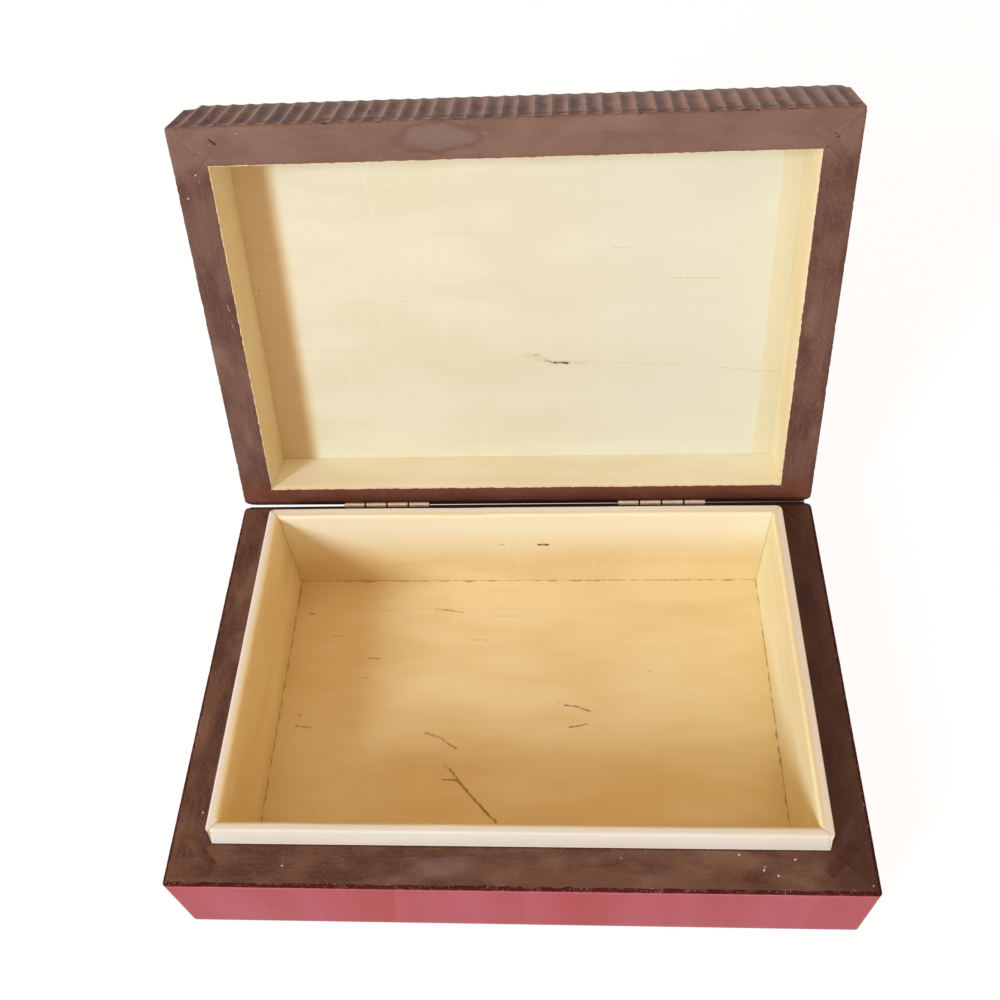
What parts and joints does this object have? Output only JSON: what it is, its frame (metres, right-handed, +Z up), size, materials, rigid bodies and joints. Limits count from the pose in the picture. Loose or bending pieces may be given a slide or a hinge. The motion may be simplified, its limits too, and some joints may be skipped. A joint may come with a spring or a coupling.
{
  "type": "hinged wooden trinket box",
  "caption": "Hinged rectangular wooden box, open, with a thin inner liner standing proud as a lip and a fluted lid on small butt hinges.",
  "frame": {"origin": "centre of the base's underside", "axes": "+Z up, +X to the right seen from the front, -Y towards the front; the lid stands open at the back"},
  "size_m": [0.221, 0.2191, 0.1782],
  "materials": {
    "red_lacquer": "wood, glossy cranberry-red lacquer on the outer faces, brown stain on the rim",
    "brown_stain": "wood, matte to satin dark brown stain, worn on the ridges",
    "dark_stain": "wood end grain, dark brown stain",
    "bare_wood": "bare pale wood, smooth, unvarnished",
    "brass": "coppery brass, worn"
  },
  "bodies": {
    "base": {"base_front_wall": "red_lacquer", "base_back_wall": "red_lacquer", "base_left_wall": "red_lacquer", "base_right_wall": "red_lacquer", "base_spline_front_left": "dark_stain", "base_spline_front_right": "dark_stain", "base_spline_back_left": "dark_stain", "base_spline_back_right": "dark_stain", "bottom_panel": "bare_wood", "liner_front": "bare_wood", "liner_back": "bare_wood", "liner_left": "bare_wood", "liner_right": "bare_wood", "hinge_left_base_leaf": "brass", "hinge_left_pin": "brass", "hinge_left_base_nail_1": "brass", "hinge_left_base_nail_2": "brass", "hinge_left_base_nail_3": "brass", "hinge_right_base_leaf": "brass", "hinge_right_pin": "brass", "hinge_right_base_nail_1": "brass", "hinge_right_base_nail_2": "brass", "hinge_right_base_nail_3": "brass"},
    "lid": {"lid_front_wall": "brown_stain", "lid_back_wall": "brown_stain", "lid_left_wall": "brown_stain", "lid_right_wall": "brown_stain", "lid_spline_front_left": "dark_stain", "lid_spline_front_right": "dark_stain", "lid_spline_back_left": "dark_stain", "lid_spline_back_right": "dark_stain", "lid_top_panel": "bare_wood", "hinge_left_lid_leaf": "brass", "hinge_left_lid_nail_1": "brass", "hinge_left_lid_nail_2": "brass", "hinge_left_lid_nail_3": "brass", "hinge_right_lid_leaf": "brass", "hinge_right_lid_nail_1": "brass", "hinge_right_lid_nail_2": "brass", "hinge_right_lid_nail_3": "brass"}
  },
  "joints": [
    {"name": "lid_hinge", "type": "hinge", "parent": "base", "child": "lid", "pos_m": [0, 0.07136, 0.03765], "axis": [-1, 0, 0], "range_deg": [-107.7, 0]}
  ]
}
